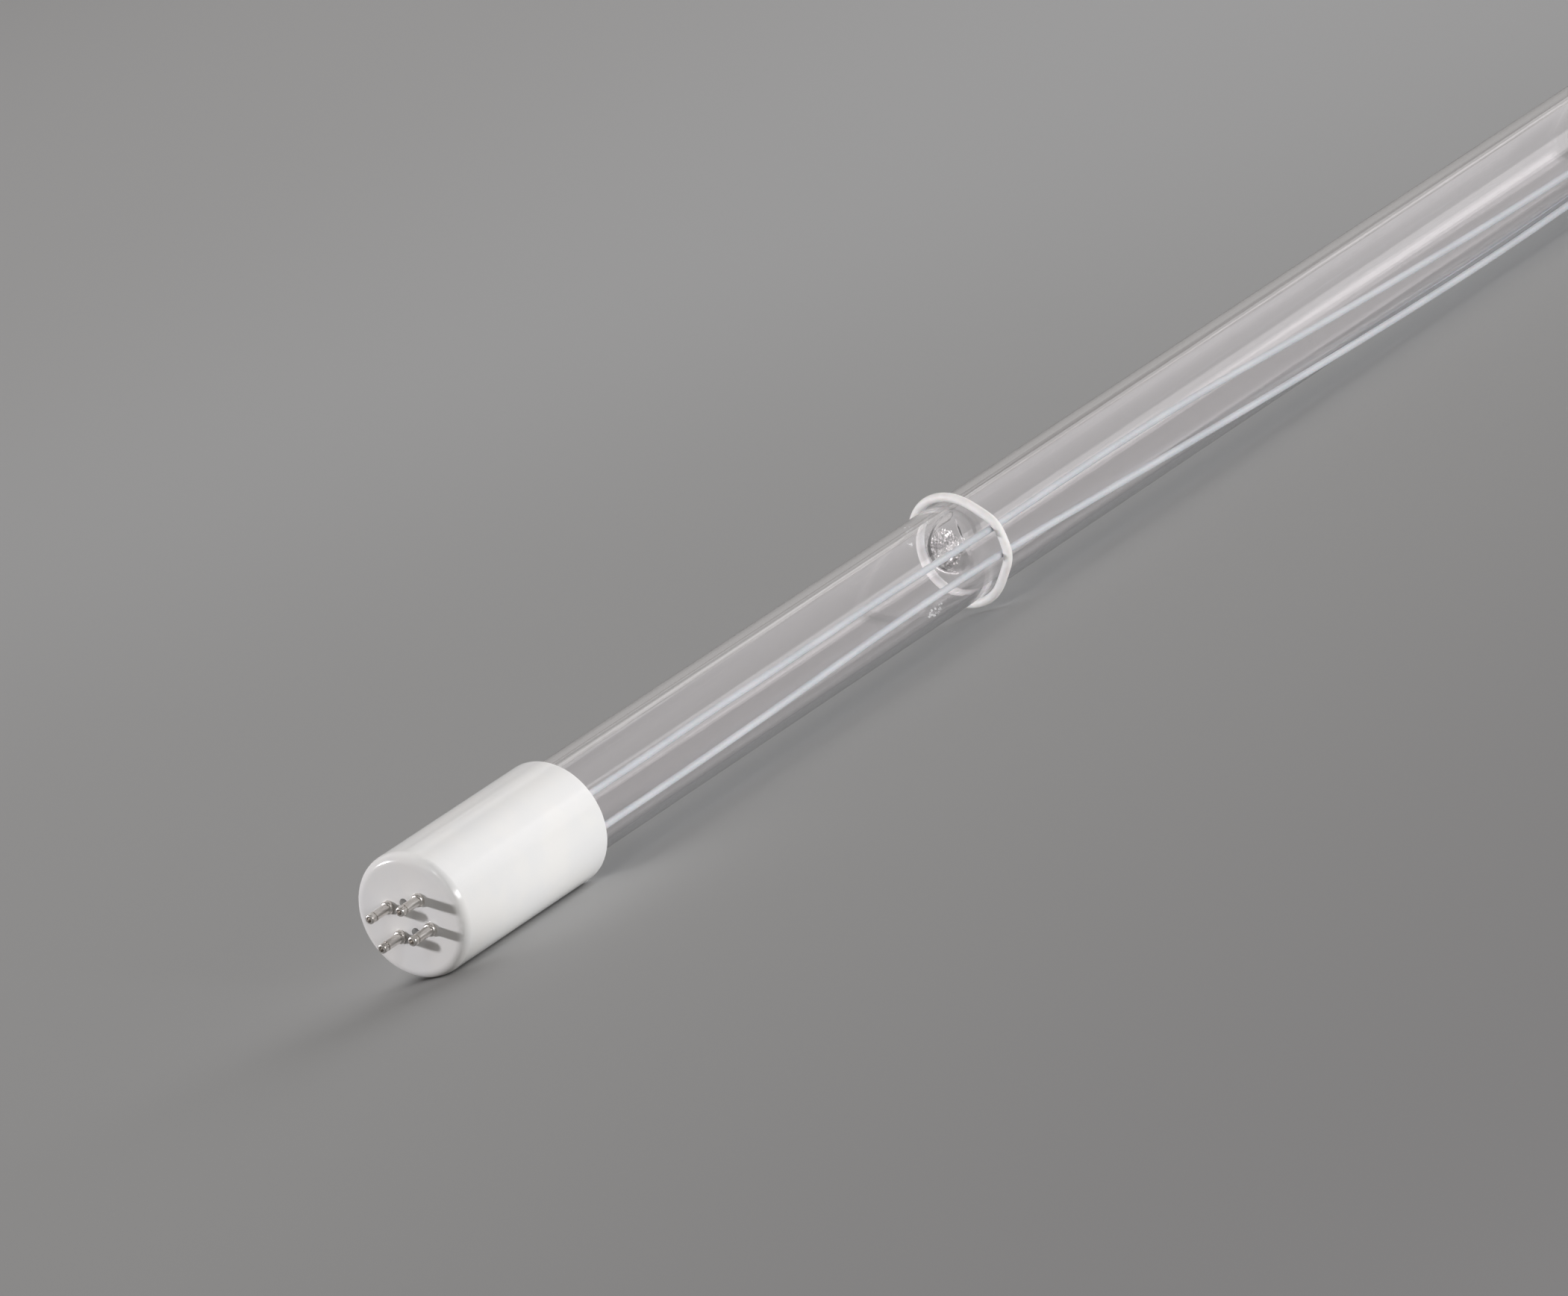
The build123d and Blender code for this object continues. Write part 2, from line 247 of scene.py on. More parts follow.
# %% Ceramic
def ceramic():
    pool_size = 9 * mm
    peel_size = 0.35 * mm
    glaze_depth = 0.03 * mm
    warm = (0.885, 0.880, 0.868, 1.0)
    cool = (0.855, 0.858, 0.860, 1.0)
    material, graph, shader, place = finish("ceramic_glaze", IOR=1.54)
    pools = noise(graph, place, pool_size, 3.0)
    peel = noise(graph, place, peel_size, 2.0)
    graph.feed(shader.inputs["Base Color"], graph.mix(graph.between(pools, 0.35, 0.65), warm, cool))
    graph.feed(shader.inputs["Roughness"], 0.09 + pools * 0.1 + peel * 0.03)
    bump(graph, shader, pools * 0.6 + peel * 0.4, glaze_depth, 0.5)
    return material


finishes = {"ceramic": ceramic()}
print("ceramic_glaze has", len(finishes["ceramic"].node_tree.nodes), "nodes")

# %% [markdown]
# ### Plain finishes for the metal, the cement and the rest
# Drawn metal is streaked along its length, cement is granular, foil is rolled. One function makes them all.
# It takes the colours at the troughs and at the crests of a noise, the noise's size and stretch, the
# roughness at both, and the depth that the noise stands for.


# %% Metals, cement and rubber
def grained(name, dark, light, size, stretch, roughness, depth, **constants):
    """A finish whose colour, roughness and height all follow one noise."""
    material, graph, shader, place = finish(name, **constants)
    grain = noise(graph, place, size, 4.0, stretch)
    level = graph.between(grain, 0.3, 0.7)
    graph.feed(shader.inputs["Base Color"], graph.mix(level, (*dark, 1.0), (*light, 1.0)))
    low, high = roughness
    graph.feed(shader.inputs["Roughness"], low + level * (high - low))
    bump(graph, shader, grain, depth, 0.6)
    return material


along_x = (12.0, 1.0, 1.0)
even = (1.0, 1.0, 1.0)
finishes |= {
    "pin_metal": grained(
        "nickel_plate", (0.64, 0.61, 0.58), (0.76, 0.74, 0.71), 0.25 * mm, along_x, (0.26, 0.4), 0.004 * mm,
        Metallic=1.0,
    ),
    "cement": grained(
        "cement", (0.52, 0.50, 0.46), (0.72, 0.70, 0.66), 0.4 * mm, even, (0.8, 0.95), 0.08 * mm
    ),
    "molybdenum": grained(
        "molybdenum", (0.36, 0.36, 0.37), (0.52, 0.52, 0.53), 0.3 * mm, along_x, (0.3, 0.5), 0.01 * mm,
        Metallic=1.0,
    ),
    "tungsten": grained(
        "tungsten", (0.22, 0.22, 0.23), (0.40, 0.40, 0.42), 0.15 * mm, even, (0.4, 0.6), 0.01 * mm,
        Metallic=1.0,
    ),
    "wire": grained(
        "nickel_wire", (0.45, 0.43, 0.40), (0.62, 0.60, 0.56), 0.2 * mm, along_x, (0.25, 0.42), 0.01 * mm,
        Metallic=1.0,
    ),
    "ring": grained(
        "silicone", (0.86, 0.845, 0.835), (0.91, 0.90, 0.895), 1.6 * mm, even, (0.42, 0.56), 0.05 * mm,
        Subsurface_Weight=0.1, Subsurface_Scale=0.0006,
    ),
}
print("finishes:", ", ".join(finishes))

# %% [markdown]
# ### Fused quartz
# The glass is as clear as air from the side, so it shows mostly by what it bends and mirrors. Tubing is
# drawn from a melt, and that leaves faint lines along it. They are a bump of a few micrometres here, with
# a little more roughness where the tube has been handled. Light would need rare paths to get through clear
# glass, so the rays that carry it to other surfaces, shadow rays and diffuse rays, meet a transparent
# surface instead. What is behind the glass stays lit, and no light is counted twice.


# %% Quartz
def quartz():
    clear = (0.998, 0.985, 0.992, 1.0)
    shade = (0.95, 0.955, 0.96, 1.0)
    line_size = 0.5 * mm
    line_stretch = (160.0, 1.0, 1.0)
    line_depth = 0.01 * mm
    smear_size = 6 * mm
    smear_stretch = (5.0, 1.0, 1.0)
    constants = {"IOR": 1.458, "Transmission_Weight": 1.0, "Base_Color": clear}
    material, graph, shader, place = finish("quartz", **constants)
    lines = noise(graph, place, line_size, 3.0, line_stretch)
    smear = noise(graph, place, smear_size, 4.0, smear_stretch)
    graph.feed(shader.inputs["Roughness"], graph.between(smear, 0.5, 0.8, 0.01, 0.06))
    bump(graph, shader, lines, line_depth, 0.4)
    passing = graph.node("ShaderNodeBsdfTransparent", None, {"Color": shade}).out()
    rays = graph.node("ShaderNodeLightPath")
    lighting = rays.out("Is Shadow Ray").maths("MAXIMUM", rays.out("Is Diffuse Ray"))
    glass = Socket(graph, shader.outputs["BSDF"])
    both = graph.node("ShaderNodeMixShader", None, {0: lighting, 1: glass, 2: passing}).out()
    end = next(node for node in graph.tree.nodes if node.type == "OUTPUT_MATERIAL")
    graph.feed(end.inputs["Surface"], both)
    return material


finishes["quartz"] = quartz()
print("quartz has", len(finishes["quartz"].node_tree.nodes), "nodes")

# %% [markdown]
# ### Glass fibre and amalgam
# The leads wear sleeves braided from glass fibre, white with a blue cast. Each fibre mirrors a little, so
# the braid has a silky streak. The amalgam is a soft metal that froze in wrinkles. Where it settled on the
# wall as beads, it is dull, as if frosted.


# %% Sleeve and amalgam
def glass_fibre():
    between_fibres = (0.54, 0.565, 0.605, 1.0)
    on_fibres = (0.66, 0.675, 0.71, 1.0)
    fibre_size = 0.09 * mm
    fibre_depth = 0.02 * mm
    stain_size = 14 * mm
    constants = {"IOR": 1.5, "Roughness": 0.45, "Sheen_Weight": 0.15, "Subsurface_Weight": 0.15}
    material, graph, shader, place = finish("glass_fibre", Subsurface_Scale=0.0004, **constants)
    fibre = noise(graph, place, fibre_size, 2.0, (4.0, 1.0, 1.0))
    stain = noise(graph, place, stain_size, 2.0)
    level = graph.between(fibre * 0.6 + stain * 0.4, 0.35, 0.65)
    graph.feed(shader.inputs["Base Color"], graph.mix(level, between_fibres, on_fibres))
    bump(graph, shader, fibre, fibre_depth, 0.6)
    return material


finishes["sleeve"] = glass_fibre()
finishes["amalgam"] = grained(
    "amalgam", (0.66, 0.65, 0.65), (0.90, 0.89, 0.89), 0.35 * mm, even, (0.1, 0.24), 0.03 * mm,
    Metallic=1.0,
)
finishes["frosted"] = grained(
    "frosted_amalgam", (0.86, 0.85, 0.86), (0.95, 0.94, 0.95), 0.1 * mm, even, (0.45, 0.6), 0.02 * mm,
    Metallic=0.9,
)
print("all finishes:", ", ".join(finishes))

# %% [markdown]
# ## Dressing the CAD nodes
# Each CAD node names its material slot in the record, so a loop gives every node the finish of its slot.

# %% Finishes on the nodes
slot_of = {name: node.material_slots[0].material.name.split(".")[0] for name, node in nodes.items()}
for name, node in nodes.items():
    node.material_slots[0].material = finishes[slot_of[name]]
print("slots:", sorted(set(slot_of.values())))

# %% [markdown]
# ## Sheets that a tree bends into shape
# The glass, the sleeves and the ring are all surfaces with two directions: along and around. A sheet is a
# strip of faces whose points don't hold places yet, but those two directions: X is the station along, Y
# the angle around, and Z the share of the radius, which is 0 where the surface closes to a point. A
# Geometry Nodes tree then reads each point's numbers and works out its place. Stations can be close where
# the shape is fine and far apart where it is straight.


# %% Sheets
def steps(start, end, count):
    """Evenly spaced numbers from start to end, both of them kept."""
    return [start + (end - start) * step / count for step in range(count + 1)]


def sheet(name, stations, around, closed=False):
    """A strip of faces whose points hold (along, angle, share)."""
    turn = 2 * math.pi / around
    points = [(along, turn * step, share) for along, share in stations for step in range(around)]
    faces = []
    last = len(stations) if closed else len(stations) - 1
    for row in range(last):
        below = row * around
        above = ((row + 1) % len(stations)) * around
        for step in range(around):
            beside = (step + 1) % around
            faces.append((below + step, above + step, above + beside, below + beside))
    mesh = bpy.data.meshes.new(name)
    mesh.from_pydata(points, [], faces)
    made = bpy.data.objects.new(name, mesh)
    bpy.context.scene.collection.objects.link(made)
    return made


print("five steps from 0 to 1:", steps(0.0, 1.0, 5))

# %% [markdown]
# ### Trees
# A tree starts with named inputs, so that one rule can make pieces of several sizes. It ends by closing
# the points that meet, making instances real and giving the faces their material.


# %% Trees
def new_tree(name, inputs):
    """A Geometry Nodes tree with named inputs, as a Graph, and a Socket for each input."""
    tree = bpy.data.node_groups.new(name, "GeometryNodeTree")
    tree.interface.new_socket("Geometry", in_out="INPUT", socket_type="NodeSocketGeometry")
    for label, kind in inputs.items():
        tree.interface.new_socket(label, in_out="INPUT", socket_type="NodeSocket" + kind)
    tree.interface.new_socket("Geometry", in_out="OUTPUT", socket_type="NodeSocketGeometry")
    graph = Graph(tree)
    entry = graph.node("NodeGroupInput")
    return graph, {socket.name: Socket(graph, socket) for socket in entry.made.outputs if socket.name}


def end_tree(graph, given, place):
    """Moves every point to its place, closes the points that meet, and sets the material."""
    same_point = 0.5e-6
    shape = given["Geometry"]
    if place is not None:
        moved = {"Geometry": shape, "Position": place}
        shape = graph.node("GeometryNodeSetPosition", None, moved).out()
        closed = {"Geometry": shape, "Distance": same_point}
        shape = graph.node("GeometryNodeMergeByDistance", None, closed).out()
    real = graph.node("GeometryNodeRealizeInstances", None, {"Geometry": shape}).out()
    dress = {"Geometry": real, "Material": given["Material"]}
    dressed = graph.node("GeometryNodeSetMaterial", None, dress).out()
    graph.node("NodeGroupOutput", None, {"Geometry": dressed})
    return graph.tree


print("a tree takes its sizes by name")

# %% [markdown]
# ### From a tree to a plain mesh
# A modifier runs the tree on an object. Its inputs are set by their identifiers before it first runs. What
# it made is copied as a plain mesh, and its faces are turned outwards, or inwards for a hollow. Then the
# parts of one piece are joined, shaded smooth, and kept sharp where they meet at a steep angle.


# %% Grow and join
def grow(made, tree, inside=False, **inputs):
    """Runs a tree on an object and returns what it made as a plain mesh object."""
    modifier = made.modifiers.new("grow", "NODES")
    modifier.node_group = tree
    for item in tree.interface.items_tree:
        key = item.name.replace(" ", "_")
        if item.in_out == "INPUT" and key in inputs:
            modifier[item.identifier] = inputs[key]
    depsgraph = bpy.context.evaluated_depsgraph_get()
    mesh = bpy.data.meshes.new_from_object(made.evaluated_get(depsgraph))
    made.modifiers.clear()
    work = bmesh.new()
    work.from_mesh(mesh)
    bmesh.ops.recalc_face_normals(work, faces=work.faces)
    if inside:
        bmesh.ops.reverse_faces(work, faces=work.faces)
    work.to_mesh(mesh)
    work.free()
    plain = bpy.data.objects.new(made.name, mesh)
    bpy.data.objects.remove(made)
    bpy.context.scene.collection.objects.link(plain)
    return plain


def join(name, pieces, sharp=40.0):
    """One smooth-shaded object from several, with edges above an angle kept sharp."""
    work = bmesh.new()
    materials = list(dict.fromkeys(piece.data.materials[0] for piece in pieces))
    for piece in pieces:
        first = len(work.faces)
        work.from_mesh(piece.data)
        work.faces.ensure_lookup_table()
        for face in work.faces[first:]:
            face.material_index = materials.index(piece.data.materials[0])
        bpy.data.objects.remove(piece)
    mesh = bpy.data.meshes.new(name)
    work.to_mesh(mesh)
    work.free()
    for material in materials:
        mesh.materials.append(material)
    mesh.shade_smooth()
    mesh.set_sharp_from_angle(angle=math.radians(sharp))
    made = bpy.data.objects.new(name, mesh)
    bpy.context.scene.collection.objects.link(made)
    print(name, "has", sum(len(face.vertices) - 2 for face in mesh.polygons), "triangles")
    return made


print("pieces made this way are plain meshes")

# %% [markdown]
# ## The quartz tube
# One rule gives the glass everywhere. In the middle the section is a circle. Towards each end it becomes
# the flat block of a press seal, as a superellipse whose power grows from 2 to 6. A blister swells out
# of the side away from the leads: there the radius is the larger of the tube's and of a ball's, rounded
# together where they meet, as blown glass is. The same rule with smaller numbers gives the hollow inside.


# %% The rule of the glass
tube_radius = 9.5 * mm
tube_wall = 1.4 * mm
tube_rise = 0.5 * mm
ring_x = 173.48 * mm
blister_x = ring_x + 6.9 * mm
blister_radius = 6.3 * mm
blister_wall = 1.0 * mm
blister_rise = 2.4 * mm
blister_depth = tube_radius + blister_rise - blister_radius
blister_fillet = 1.7 * mm
block_power = 6.0
circle_power = 2.0
seal_start = 11.0 * mm
seal_end = 23.0 * mm
throat_start = 24.5 * mm
round_from = 30.0 * mm
near_turn = math.radians(-2.5)
far_turn = math.radians(-32.0)


def glass_rule():
    names = ("Radius", "Ball Radius", "Flat Until", "Half Thickness", "Half Width")
    graph, given = new_tree("glass_rule", {**dict.fromkeys(names, "Float"), "Material": "Material"})
    along, angle, share = graph.parts(graph.node("GeometryNodeInputPosition").out())
    to_far = lamp_length - along
    from_end = along.maths("MINIMUM", to_far)
    is_far = along.maths("GREATER_THAN", lamp_length / 2)
    turned = angle - (near_turn + is_far * (far_turn - near_turn))
    whole = graph.node(
        "ShaderNodeMapRange",
        {"interpolation_type": "SMOOTHSTEP"},
        {"Value": from_end, "From Min": given["Flat Until"], "From Max": round_from},
    ).out()
    thick = given["Half Thickness"] + whole * (given["Radius"] - given["Half Thickness"])
    wide = given["Half Width"] + whole * (given["Radius"] - given["Half Width"])
    power = block_power - whole * (block_power - circle_power)
    across = (turned.maths("COSINE").maths("ABSOLUTE") / thick) ** power
    upwards = (turned.maths("SINE").maths("ABSOLUTE") / wide) ** power
    section = (across + upwards) ** (-1.0 / power)
    outwards = -angle.maths("COSINE")
    sideways = angle.maths("SINE") * blister_depth
    beside = along - blister_x
    room = given["Ball Radius"] ** 2.0 - beside ** 2.0 - sideways ** 2.0
    ball = outwards * blister_depth + room.maths("MAXIMUM", 0.0) ** 0.5
    radius = ball.maths("SMOOTH_MAX", section, blister_fillet) * share
    place = graph.vector(along, -angle.maths("COSINE") * radius, angle.maths("SINE") * radius + tube_rise)
    return end_tree(graph, given, place)


rule = glass_rule()
print("glass_rule has", len(rule.nodes), "nodes")

# %% [markdown]
# ### Stations along the glass
# The rule bends most at the shoulders of the seals and at the blister, so the stations are close together
# there. The glass is two closed skins in one mesh: the outside, and the hollow with its faces turned to
# the gas, so that light bends the right way at each.

# %% Glass
glass_sides = 256
flat_rows = 3
shoulder_rows = 16
near_rows = 12
blister_rows = 64
far_rows = 20
blister_reach = 8 * mm
seal_half_thickness = 2.2 * mm
seal_half_width = 8.25 * mm
throat_half_thickness = 1.0 * mm
throat_half_width = 5.5 * mm


def glass_stations(start, flat_until):
    """Stations from one closed end of the glass to the other."""
    near_blister = blister_x - blister_reach
    past_blister = blister_x + blister_reach
    flat = steps(start, flat_until, flat_rows)[1:] if flat_until > start else []
    near = [start] + flat + steps(flat_until, round_from, shoulder_rows)[1:]
    far = [lamp_length - place for place in reversed(near)]
    middle = steps(round_from, near_blister, near_rows)[1:]
    middle += steps(near_blister, past_blister, blister_rows)[1:]
    middle += steps(past_blister, lamp_length - round_from, far_rows)[1:-1]
    ring_places = [(place, 1.0) for place in near + middle + far]
    return [(start, 0.0)] + ring_places + [(lamp_length - start, 0.0)]


outside = grow(
    sheet("glass_outside", glass_stations(seal_start, seal_end), glass_sides), rule,
    Radius=tube_radius, Ball_Radius=blister_radius, Flat_Until=seal_end,
    Half_Thickness=seal_half_thickness, Half_Width=seal_half_width, Material=finishes["quartz"],
)
hollow = grow(
    sheet("glass_hollow", glass_stations(throat_start, throat_start), glass_sides), rule, inside=True,
    Radius=tube_radius - tube_wall, Ball_Radius=blister_radius - blister_wall, Flat_Until=throat_start,
    Half_Thickness=throat_half_thickness, Half_Width=throat_half_width, Material=finishes["quartz"],
)
glass = join("quartz_glass", [outside, hollow])
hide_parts("quartz_tube")
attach(glass, "root")

# %% [markdown]
# ## Sleeves and ring
# Both are tubes swept along a path. The tree samples the path at each point's station, and steps out from
# it by the radius. On a sleeve, the radius also carries the braid: strands wind both ways round, and at
# each crossing one lies on top of the other in turn.


# %% The rule of a sweep
crossing = 0.25
mean_strand = 0.6


def sweep_rule():
    inputs = {"Path": "Object", "Radius": "Float", "Hollow": "Float", "Relief": "Float"}
    inputs |= {"Strands": "Float", "Windings": "Float", "Material": "Material"}
    graph, given = new_tree("sweep_rule", inputs)
    along, angle, share = graph.parts(graph.node("GeometryNodeInputPosition").out())
    path = graph.node("GeometryNodeObjectInfo", {"transform_space": "ORIGINAL"}, {"Object": given["Path"]})
    inputs = {"Curves": path.out("Geometry"), "Factor": along}
    sample = graph.node("GeometryNodeSampleCurve", {"mode": "FACTOR", "use_all_curves": True}, inputs)
    wound = along * given["Windings"] * (2 * math.pi)
    right = (angle + wound) * given["Strands"] * 0.5
    left = (angle - wound) * given["Strands"] * 0.5
    over = graph.between(right.maths("SINE") * left.maths("SINE"), -crossing, crossing)
    strand = over * right.maths("COSINE").maths("ABSOLUTE")
    strand = strand + (1.0 - over) * left.maths("COSINE").maths("ABSOLUTE")
    relief = given["Relief"] * (strand - mean_strand)
    radius = given["Hollow"] + share * (given["Radius"] - given["Hollow"] + relief)
    out = sample.out("Normal")
    tangent = sample.out("Tangent")
    side = graph.arrow("CROSS_PRODUCT", tangent, out)
    first = graph.stretch(out, angle.maths("COSINE") * radius)
    second = graph.stretch(side, angle.maths("SINE") * radius)
    place = graph.arrow("ADD", sample.out("Position"), graph.arrow("ADD", first, second))
    return end_tree(graph, given, place)


sweeps = sweep_rule()
print("sweep_rule has", len(sweeps.nodes), "nodes")

# %% [markdown]
# ### The sleeves' routes
# Each sleeve wanders a little along the glass. Its route is a list of pairs: a share of the bare tube, and
# an angle round the tube in degrees from the side of the leads. A NURBS curve through those points is the
# smooth line that the sweep follows.


# %% Sleeves
def path_object(name, points, order=2, cyclic=False):
    """A curve through points, or a NURBS curve that rounds their corners."""
    curve = bpy.data.curves.new(name, "CURVE")
    curve.dimensions = "3D"
    spline = curve.splines.new("NURBS" if order > 2 else "POLY")
    spline.points.add(len(points) - 1)
    for point, place in zip(spline.points, points):
        point.co = (*place, 1.0)
    spline.use_cyclic_u = cyclic
    if order > 2:
        spline.order_u = order
        spline.use_endpoint_u = True
        spline.resolution_u = 10
    made = bpy.data.objects.new(name, curve)
    bpy.context.scene.collection.objects.link(made)
    return made


bare_start = 43.5 * mm
bare_length = 373.5 * mm
lead_radius = 10.27 * mm
sleeve_radius = 0.65 * mm
sleeve_bore = 0.4 * mm
sleeve_rows = 1600
bore_rows = 60
sleeve_sides = 20
braid_relief = 0.07 * mm
braid_strands = 8.0
braid_windings = 120.0
routes = {
    "sleeve_upper": [
        (-0.04953, 15.5), (0.044, 15.5), (0.098, 17.0), (0.167, 16.2), (0.253, 17.2), (0.348, 14.0),
        (0.438, 15.4), (0.526, 12.4), (0.612, 3.8), (0.7, -3.2), (0.788, -9.2), (0.85, -11.8),
        (0.962, -14.0), (1.04016, -14.0),
    ],
    "sleeve_lower": [
        (-0.04953, -20.5), (0.044, -20.5), (0.098, -19.6), (0.167, -17.2), (0.253, -12.4), (0.348, -13.0),
        (0.438, -21.4), (0.526, -30.2), (0.612, -39.6), (0.7, -49.6), (0.79, -58.2), (0.86, -58.4),
        (0.962, -50.0), (1.04016, -50.0),
    ],
}


def beside_glass(along, degrees, radius):
    """A point beside the tube: degrees round from the side of the leads, upwards."""
    angle = math.radians(degrees)
    return (along, -radius * math.cos(angle), tube_rise + radius * math.sin(angle))


for number, (name, route) in enumerate(routes.items(), 1):
    points = [beside_glass(bare_start + share * bare_length, angle, lead_radius) for share, angle in route]
    path = path_object(name + "_path", points, order=3)
    outer = [(share, 1.0) for share in steps(0.0, 1.0, sleeve_rows)]
    inner = [(share, 0.0) for share in reversed(steps(0.0, 1.0, bore_rows))]
    grown = grow(
        sheet(name, outer + inner, sleeve_sides, closed=True), sweeps, Path=path, Radius=sleeve_radius,
        Hollow=sleeve_bore, Relief=braid_relief, Strands=braid_strands, Windings=braid_windings,
        Material=finishes["sleeve"],
    )
    sleeve = join(name, [grown], 60.0)
    bpy.data.objects.remove(path)
    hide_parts(f"lead_sleeve_{number}")
    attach(sleeve, "root")

# %% [markdown]
# ### The ring's path
# The ring is a stretchy band, so it lies on whatever stands out most: the tube, and the two sleeves on one
# side of it. Each is a circle in the ring's plane. For every direction the path first takes the farthest
# circle, then pulls in to the tightest line over them, and at last rounds the corners off.

# %% Ring
ring_section = 1.7 * mm
ring_gap = 0.1 * mm
ring_tilt = math.radians(5.0)
ring_angles = (14.0, -13.0)
ring_slack = 0.3 * mm
ring_steps = 240
ring_sides = 24
ring_wave = 0.12 * mm
ring_waves = 3
ring_phase = 0.7
# The cosine of the widest angle at which a point of the band still pulls on another
widest_pull = 0.2
# How many steps to each side a point is levelled with
smoothing = range(-5, 6)


def ring_path():
    """The middle of a band pulled tight over the tube and both leads."""
    half = ring_section / 2 + ring_gap
    circles = [((0.0, 0.0), tube_radius + half)]
    for degrees in ring_angles:
        angle = math.radians(degrees)
        centre = (-lead_radius * math.cos(angle), lead_radius * math.sin(angle))
        circles.append((centre, sleeve_radius + half + ring_slack))
    turns = [2 * math.pi * step / ring_steps for step in range(ring_steps)]
    props = [max(c[0] * math.cos(a) + c[1] * math.sin(a) + r for c, r in circles) for a in turns]
    reach = []
    for a in turns:
        near = [(prop, math.cos(b - a)) for b, prop in zip(turns, props) if math.cos(b - a) > widest_pull]
        reach.append(min(prop / share for prop, share in near))
    for _ in range(2):
        sums = [sum(reach[(i - k) % ring_steps] for k in smoothing) for i in range(ring_steps)]
        reach = [total / len(smoothing) for total in sums]
    points = []
    for a, far in zip(turns, reach):
        y = far * math.cos(a)
        wave = ring_wave * math.sin(ring_waves * a + ring_phase)
        lean = math.sin(ring_tilt) * y
        points.append((ring_x + lean + wave, math.cos(ring_tilt) * y, tube_rise + far * math.sin(a)))
    return points


path = path_object("ring_path", ring_path(), cyclic=True)
grown = grow(
    sheet("ring", [(step / ring_steps, 1.0) for step in range(ring_steps)], ring_sides, closed=True),
    sweeps, Path=path, Radius=ring_section / 2, Hollow=0.0, Relief=0.0, Strands=0.0, Windings=0.0,
    Material=finishes["ring"],
)
ring = join("holding_ring", [grown], 60.0)
bpy.data.objects.remove(path)
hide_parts("retaining_ring")
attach(ring, "root")

# %% [markdown]
# ## The amalgam
# A lump that melted and froze against the inside of the blister. It starts as a flattened ball. Noise
# crumples it, the cells of a Voronoi pattern tilt into small flat facets, and no point may leave the ball
# that the glass encloses.


# %% The rule of the amalgam
facet_tilt = 2.4


def crumple_rule():
    inputs = dict.fromkeys(("Depth", "Grain", "Flake", "Room"), "Float")
    inputs |= {"Centre": "Vector", "Material": "Material"}
    graph, given = new_tree("crumple_rule", inputs)
    place = graph.node("GeometryNodeInputPosition").out()
    normal = graph.node("GeometryNodeInputNormal").out()
    waves = {"Vector": place, "Scale": 1.0 / given["Grain"], "Detail": 2.0}
    coarse = graph.node("ShaderNodeTexNoise", None, waves).out(0)
    cells = graph.node("ShaderNodeTexVoronoi", None, {"Vector": place, "Scale": 1.0 / given["Flake"]})
    lean = graph.arrow("SUBTRACT", cells.out("Color"), (0.5, 0.5, 0.5))
    arm = graph.arrow("SUBTRACT", place, cells.out("Position"))
    tilt = graph.node("ShaderNodeVectorMath", {"operation": "DOT_PRODUCT"}, {0: arm, 1: lean}).out("Value")
    step = (coarse - 0.5) * given["Depth"] + tilt * facet_tilt
    moved = graph.arrow("ADD", place, graph.stretch(normal, step))
    arm = graph.arrow("SUBTRACT", moved, given["Centre"])
    reach = graph.node("ShaderNodeVectorMath", {"operation": "LENGTH"}, {0: arm}).out("Value")
    share = given["Room"].maths("MINIMUM", reach) / reach
    return end_tree(graph, given, graph.arrow("ADD", graph.stretch(arm, share), given["Centre"]))


crumple = crumple_rule()
print("crumple_rule has", len(crumple.nodes), "nodes")

# %% Amalgam
lump_half_size = (4.3 * mm, 1.5 * mm, 4.1 * mm)
lump_offset = Vector((0.3 * mm, 4.1 * mm, -1.1 * mm))
lump_clearance = 0.03 * mm
blister_centre = Vector((blister_x, blister_depth, tube_rise))
lump_mesh = bpy.data.meshes.new("lump")
work = bmesh.new()
bmesh.ops.create_icosphere(work, subdivisions=6, radius=1.0)
bmesh.ops.scale(work, vec=lump_half_size, verts=work.verts)
bmesh.ops.translate(work, vec=blister_centre + lump_offset, verts=work.verts)
work.to_mesh(lump_mesh)
work.free()
lump = bpy.data.objects.new("lump", lump_mesh)
bpy.context.scene.collection.objects.link(lump)
grown = grow(
    lump, crumple, Depth=0.8 * mm, Grain=1.6 * mm, Flake=0.6 * mm,
    Room=blister_radius - blister_wall - lump_clearance,
    Centre=tuple(blister_centre), Material=finishes["amalgam"],
)
amalgam = join("amalgam_lump", [grown], 35.0)
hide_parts("amalgam_pellet")
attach(amalgam, "root")

# %% [markdown]
# ### Droplets
# While the lamp ran, a little of the amalgam left the lump and settled on the wall near the blister as
# beads too small to count. A tree scatters points on three small patches of the wall and puts a ball of
# its own size on each.


# %% Droplets
smallest_share = 0.35


def droplet_rule():
    inputs = {"Density": "Float", "Size": "Float", "Seed": "Int", "Material": "Material"}
    graph, given = new_tree("droplet_rule", inputs)
    spread = {"Mesh": given["Geometry"], "Density": given["Density"], "Seed": given["Seed"]}
    dots = graph.node("GeometryNodeDistributePointsOnFaces", None, spread).out()
    ball = graph.node("GeometryNodeMeshIcoSphere", None, {"Radius": given["Size"], "Subdivisions": 3}).out()
    spans = {2: smallest_share, 3: 1.0, "Seed": given["Seed"]}
    sizes = graph.node("FunctionNodeRandomValue", None, spans).out(1)
    copies = {"Points": dots, "Instance": ball, "Scale": sizes}
    laid = graph.node("GeometryNodeInstanceOnPoints", None, copies).out()
    return end_tree(graph, {**given, "Geometry": laid}, None)


def wall_patch(along, degrees, length, turn):
    """Four corners on the inside of the tube, just clear of the glass."""
    clear = tube_radius - tube_wall - bead_clearance
    return [beside_glass(along + a * length / 2, degrees + b * turn / 2, clear) for a, b in corners]


